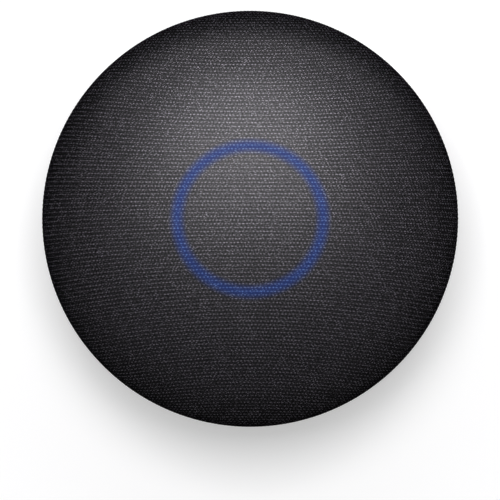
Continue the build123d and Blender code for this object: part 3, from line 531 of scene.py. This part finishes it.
def baseFinish():  # the moulded base, with the mark that the microphone switch uncovers
    paint, plain = mouldedPaint("base moulding", **base)
    cosTurn, sinTurn = math.cos(micMark["turn"]), math.sin(micMark["turn"])
    outwards = paint.x * cosTurn + paint.y * sinTurn
    aside = paint.y * cosTurn - paint.x * sinTurn
    wide, tall = micMark["half"]
    mark = aside.within(micMark["aside"], wide, micMark["soft"])
    mark = mark * paint.z.within(micMark["level"], tall, micMark["soft"])
    mark = mark * outwards.within(micMark["floor"], micMark["floorHalf"], micMark["floorSoft"])
    return paint.set(baseColor=paint.mix(mark, plain, micMark["colour"]))


metal = {
    "cloud": 6 * mm,
    "shades": (0.82, 0.2, 0.16),         # least, lines and clouds
    "roughSpread": 0.16,
    "depth": 0.02 * mm,
}


def metalFinish(name, colour, roughness, grain, stretch=(1, 1, 1)):
    paint = Paint(name)
    lines = paint.noise(grain, 3.0, stretch)
    cloud = paint.noise(metal["cloud"])
    least, byLines, byCloud = metal["shades"]
    spread = metal["roughSpread"]
    return paint.set(baseColor=paint.shade(colour, least + lines * byLines + cloud * byCloud),
                     metallic=1.0, roughness=roughness - spread / 2 + lines * spread,
                     normal=paint.bump(lines, metal["depth"]))


inlet = {
    "shell": rgb(0.62, 0.62, 0.64),
    "tongue": rgb(0.016, 0.016, 0.017),
    "gold": rgb(0.80, 0.56, 0.20),
    "tongueHalf": (3.40 * mm, 0.40 * mm),
    "tongueEnd": 39.0 * mm,
    "level": 8.33 * mm,
    "contactPitch": 0.5 * mm,
    "contactRow": 3.0 * mm,      # half of the row's length
    "contactEnd": 38.4 * mm,
    "contactSoft": 0.03 * mm,
    "soft": 0.02 * mm,
    "lines": 0.25 * mm,
    "linesStretch": (9, 1, 1),
    "depth": 0.03 * mm,
}


def inletFinish():  # steel shell, black tongue and gold contacts
    paint = Paint("power inlet")
    soft = inlet["soft"]
    lines = paint.noise(inlet["lines"], 3.0, inlet["linesStretch"])
    wide, tall = inlet["tongueHalf"]
    tongue = paint.x.within(0, wide, soft) * paint.z.within(inlet["level"], tall, soft)
    tongue = tongue * (1 - paint.y.above(inlet["tongueEnd"], soft))
    line = (paint.x * (fullTurn / inlet["contactPitch"]) + halfTurn).cos().above(0, 0.15)
    contact = tongue * line * paint.x.within(0, inlet["contactRow"], soft)
    contact = contact * (1 - paint.y.above(inlet["contactEnd"], inlet["contactSoft"]))
    colour = paint.mix(contact, paint.mix(tongue, inlet["shell"], inlet["tongue"]), inlet["gold"])
    return paint.set(baseColor=paint.shade(colour, 0.9 + lines * 0.2), metallic=1 - tongue + contact,
                     roughness=0.28 + lines * 0.12 + tongue * 0.2 - contact * 0.2,
                     normal=paint.bump(lines * 0.3 + contact, inlet["depth"]))


turned = {"speck": 0.5 * mm, "depth": 0.02 * mm}


def turnedFinish(name, colour, metallic, roughness, pitch):  # rings cut about the axis
    paint = Paint(name)
    cut = ((paint.reach() + paint.z) * (fullTurn / pitch)).cos() * 0.5 + 0.5
    speck = paint.noise(turned["speck"], 4.0)
    return paint.set(baseColor=paint.shade(colour, 0.78 + cut * 0.14 + speck * 0.2), metallic=metallic,
                     roughness=roughness + cut * 0.08, normal=paint.bump(cut + speck, turned["depth"]))


board = {
    "mask": rgb(0.010, 0.060, 0.030),
    "overTrack": rgb(0.020, 0.105, 0.050),
    "plating": rgb(0.60, 0.42, 0.14),
    "trackSize": 7 * mm,
    "tracks": 14,
    "trackHalf": 0.16,           # as a share of the spacing
    "holeSpacing": 2.6 * mm,
    "holeReach": 0.16,           # as a share of the spacing
    "depth": 0.03 * mm,
}


def boardFinish():  # green mask over copper tracks, with plated holes
    paint = Paint("solder mask")
    winding = paint.noise(board["trackSize"], 0.0) * board["tracks"]
    track = winding.fract().within(0.5, board["trackHalf"], 0.03)
    hole = 1 - paint.cells(board["holeSpacing"]).above(board["holeReach"], 0.02)
    mask = paint.mix(track, board["mask"], board["overTrack"])
    return paint.set(baseColor=paint.mix(hole, mask, board["plating"]), metallic=hole * 0.9,
                     roughness=0.45 - hole * 0.12, normal=paint.bump(track * 0.5 + hole, board["depth"]))


paper = {
    "colour": rgb(0.038, 0.038, 0.042),
    "fibre": 0.35 * mm,
    "stretch": (3, 1, 1),
    "cloud": 5 * mm,
    "depth": 0.05 * mm,
}


def paperFinish():
    paint = Paint("coated pulp")
    fibre = paint.noise(paper["fibre"], 4.0, paper["stretch"])
    cloud = paint.noise(paper["cloud"])
    return paint.set(baseColor=paint.shade(paper["colour"], 0.6 + fibre * 0.5 + cloud * 0.3),
                     roughness=0.72 + fibre * 0.16, normal=paint.bump(fibre, paper["depth"], 0.6))


foam = {"colour": rgb(0.05, 0.05, 0.053), "cell": 0.28 * mm, "depth": 0.08 * mm}


def foamFinish():
    paint = Paint("closed-cell foam")
    cell = paint.cells(foam["cell"])
    return paint.set(baseColor=paint.shade(foam["colour"], 0.55 + cell * 0.7),
                     roughness=0.85 + cell * 0.1, normal=paint.bump(cell, foam["depth"], 0.8))


coil = {"colour": rgb(0.72, 0.34, 0.14), "wire": 0.18 * mm, "speck": 0.4 * mm, "depth": 0.06 * mm}


def coilFinish():
    paint = Paint("copper winding")
    wire = (paint.z * (fullTurn / coil["wire"])).cos() * 0.5 + 0.5
    speck = paint.noise(coil["speck"])
    return paint.set(baseColor=paint.shade(coil["colour"], 0.55 + wire * 0.4 + speck * 0.1),
                     metallic=0.9, roughness=0.30 + speck * 0.12,
                     normal=paint.bump(wire, coil["depth"], 0.8))


leds = {
    "count": 12,
    "body": rgb(0.82, 0.82, 0.78),
    "phosphor": rgb(0.85, 0.72, 0.18),
    "lens": 0.55 * mm,
    "lensSoft": 0.05 * mm,
    "speck": 0.2 * mm,
    "depth": 0.03 * mm,
}
diffuser = {
    "colour": rgb(0.74, 0.80, 0.92),
    "glow": rgb(0.05, 0.13, 0.55),
    "haze": 1.2 * mm,
    "depth": 0.02 * mm,
}


def diffuserFinish():  # a milky ring, brighter over each lamp
    paint = Paint("lit diffuser")
    overLed = (paint.turn() * leds["count"]).cos() * 0.5 + 0.5
    haze = paint.noise(diffuser["haze"], 3.0)
    paint.set(emissionStrength=1.0)
    return paint.set(baseColor=paint.shade(diffuser["colour"], 0.86 + haze * 0.2),
                     emissionColor=paint.shade(diffuser["glow"], 0.7 + overLed * 0.5 + haze * 0.2),
                     roughness=0.32 + haze * 0.12, normal=paint.bump(haze, diffuser["depth"]))


def ledFinish():  # white body with a yellow lens in the middle
    paint = Paint("lamp body")
    spacing = fullTurn / leds["count"]
    share = (paint.turn() * (1 / spacing) + leds["count"] + 0.5).fract() - 0.5
    aside = share * (spacing * lamp["radius"])
    inOut = paint.reach() - lamp["radius"]
    lens = 1 - (aside * aside + inOut * inOut).root().above(leds["lens"], leds["lensSoft"])
    speck = paint.noise(leds["speck"])
    body = paint.shade(leds["body"], 0.9 + speck * 0.15)
    return paint.set(baseColor=paint.mix(lens, body, leds["phosphor"]), roughness=0.45 - lens * 0.25,
                     normal=paint.bump(speck + lens, leds["depth"]))


stripes = {"soft": 0.12, "speck": 0.5 * mm, "depth": 0.03 * mm}


def stripedFinish(name, first, second, axis, pitch, edge, roughness, metallic=0.0):
    paint = Paint(name)
    line = (paint.axes[axis] * (fullTurn / pitch)).cos().above(edge, stripes["soft"])
    speck = paint.noise(stripes["speck"])
    colour = paint.shade(paint.mix(line, first, second), 0.9 + speck * 0.2)
    return paint.set(baseColor=colour, roughness=roughness + speck * 0.1, metallic=line * metallic,
                     normal=paint.bump(line, stripes["depth"]))


leads = {
    "black": rgb(0.025, 0.025, 0.027),
    "red": rgb(0.42, 0.03, 0.025),
    "soft": 0.05 * mm,           # between the two, on the middle plane
    "speck": 0.3 * mm,
    "depth": 0.02 * mm,
}


def leadFinish():  # one red wire and one black
    paint = Paint("sleeved wire")
    speck = paint.noise(leads["speck"])
    colour = paint.mix(paint.y.above(0, leads["soft"]), leads["black"], leads["red"])
    return paint.set(baseColor=paint.shade(colour, 0.85 + speck * 0.3), roughness=0.42 + speck * 0.12,
                     normal=paint.bump(speck, leads["depth"]))


finishes = {
    baseFinish(): ["lower_housing"],
    mouldedFinish("black moulding", rgb(0.022, 0.022, 0.024), 0.9 * mm, 0.02 * mm, 0.48): [
        "grille_shell", "hem_ring", "speaker_baffle", "mic_switch_body", "reset_switch",
        "driver_terminals"],
    mouldedFinish("satin grey moulding", rgb(0.24, 0.245, 0.255), 0.22 * mm, 0.02 * mm, 0.42): [
        "mic_switch_knob", "reset_button"],
    mouldedFinish("matt rubber", rgb(0.030, 0.030, 0.032), 0.18 * mm, 0.05 * mm, 0.82, 0.2): [
        "foot_pad"],
    mouldedFinish("soft rubber", rgb(0.026, 0.026, 0.028), 0.5 * mm, 0.02 * mm, 0.62, 0.3): [
        "mic_gaskets", "surround"],
    mouldedFinish("black epoxy", rgb(0.018, 0.018, 0.019), 0.25 * mm, 0.02 * mm, 0.55): [
        "processor", "amplifier_chip", "power_inductor"],
    mouldedFinish("white nylon", rgb(0.70, 0.69, 0.64), 0.5 * mm, 0.02 * mm, 0.45): [
        "speaker_socket", "ribbon_sockets"],
    mouldedFinish("heat pad", rgb(0.42, 0.48, 0.55), 0.3 * mm, 0.04 * mm, 0.78): ["thermal_pad"],
    mouldedFinish("black coating", rgb(0.028, 0.028, 0.030), 0.6 * mm, 0.03 * mm, 0.40): [
        "driver_basket"],
    metalFinish("zinc plate", rgb(0.66, 0.66, 0.68), 0.34, 0.4 * mm): [
        "led_board_screws", "shell_screws", "driver_screws", "board_screws", "housing_screws",
        "microphones"],
    metalFinish("rolled steel", rgb(0.62, 0.62, 0.64), 0.30, 0.25 * mm, (9, 1, 1)): ["rf_shield"],
    inletFinish(): ["usb_c_socket"],
    turnedFinish("turned steel", rgb(0.58, 0.58, 0.60), 1.0, 0.32, 0.35 * mm): [
        "driver_yoke", "driver_top_plate"],
    turnedFinish("ground ferrite", rgb(0.075, 0.075, 0.080), 0.0, 0.55, 0.22 * mm): ["driver_magnet"],
    stripedFinish("capacitor sleeve", rgb(0.02, 0.02, 0.03), rgb(0.5, 0.52, 0.55),
                  0, 5.0 * mm, 0.97, 0.4): ["capacitors"],
    stripedFinish("flat cable", rgb(0.72, 0.73, 0.75), rgb(0.50, 0.52, 0.56),
                  0, 0.5 * mm, 0.0, 0.38): ["ribbon_cable"],
    stripedFinish("antenna foil", rgb(0.30, 0.16, 0.05), rgb(0.78, 0.46, 0.22),
                  2, 1.3 * mm, -0.2, 0.34, 0.9): ["wifi_antennas"],
    boardFinish(): ["main_board", "led_board"],
    paperFinish(): ["speaker_cone", "dust_cap", "spider"],
    foamFinish(): ["baffle_seal", "driver_gasket"],
    coilFinish(): ["voice_coil"],
    diffuserFinish(): ["light_ring"],
    ledFinish(): ["leds"],
    leadFinish(): ["speaker_leads"],
}
shown = dict(nodes, surround=surroundRoll, spider=spiderDisc)
for finish, names in finishes.items():
    for name in names:
        shown[name].data.materials.clear()
        shown[name].data.materials.append(finish)
dressed = {name for names in finishes.values() for name in names} | {"fabric_cover"}
print("finishes:", len(finishes), "undressed nodes:", sorted(set(nodes) - dressed))


# Stage: a white floor, a dim sky, a soft light above, a strip low behind, and a camera straight above
stage = {
    "floor": rgb(0.66, 0.675, 0.645),
    "floorSize": 20.0,
    "floorDrop": 0.05 * mm,      # under the foot
    "lift": 0.483,               # white that the floor adds for the camera
    "sky": 0.075,
}
softbox = {
    "place": (-0.014, 0.305, 0.97),
    "aim": (0.0, 0.0, 0.02),
    "size": (0.52, 0.56),
    "power": 7.80,
    "colour": (1.0, 0.972, 1.035),
}
rearStrip = {
    "place": (0.0, 0.85, 0.55),
    "aim": (0.0, 0.0, 0.02),
    "size": (2.0, 0.30),
    "power": 3.8,
    "colour": (1.0, 0.972, 1.035),
}
camera = {
    "distance": 2.0,             # above the widest line of the body
    "discRadius": 208.18,        # pixels, as are the next two
    "discCentre": (250.15, 218.79),
    "image": 500,
    "sensor": 36.0,
}


def makeFloor():
    bpy.ops.object.select_all(action="DESELECT")
    bpy.ops.mesh.primitive_plane_add(size=stage["floorSize"], location=(0, 0, -stage["floorDrop"]))
    floor = bpy.context.object
    floor.name = "floor"
    paint = Paint("white floor", specular=0.0)
    direct, mirrored, through = paint.add(
        "ShaderNodeLightPath", out=["Is Camera Ray", "Is Glossy Ray", "Is Transmission Ray"])
    paint.set(baseColor=stage["floor"], roughness=0.9, emissionStrength=stage["lift"],
              emissionColor=paint.shade(rgb(1, 1, 1), direct.orMore(mirrored).orMore(through)))
    floor.data.materials.append(paint.material)


def makeSky():
    world = bpy.data.worlds.new("sky")
    bpy.context.scene.world = world
    world.use_nodes = True
    background = world.node_tree.nodes["Background"]
    background.inputs["Color"].default_value = rgb(1, 1, 1)
    background.inputs["Strength"].default_value = stage["sky"]


def makeLight(settings):
    bpy.ops.object.light_add(type="AREA", location=settings["place"])
    light = bpy.context.object
    light.data.shape = "RECTANGLE"
    light.data.size, light.data.size_y = settings["size"]
    light.data.energy = settings["power"]
    light.data.color = settings["colour"]
    towards = Vector(settings["aim"]) - Vector(settings["place"])
    light.rotation_euler = towards.to_track_quat("-Z", "Y").to_euler()


def makeCamera():
    bpy.ops.object.camera_add(location=(0, 0, clothWaist + camera["distance"]), rotation=(0, 0, 0))
    eye = bpy.context.object
    focal = camera["discRadius"] * camera["distance"] / clothRadius
    eye.data.sensor_width = camera["sensor"]
    eye.data.lens = focal * camera["sensor"] / camera["image"]
    eye.data.shift_x = 0.5 - camera["discCentre"][0] / camera["image"]
    eye.data.shift_y = camera["discCentre"][1] / camera["image"] - 0.5
    bpy.context.scene.camera = eye


makeFloor()
makeSky()
makeLight(softbox)
makeLight(rearStrip)
makeCamera()
bpy.context.scene.view_settings.view_transform = "Standard"
print("stage and camera are set")
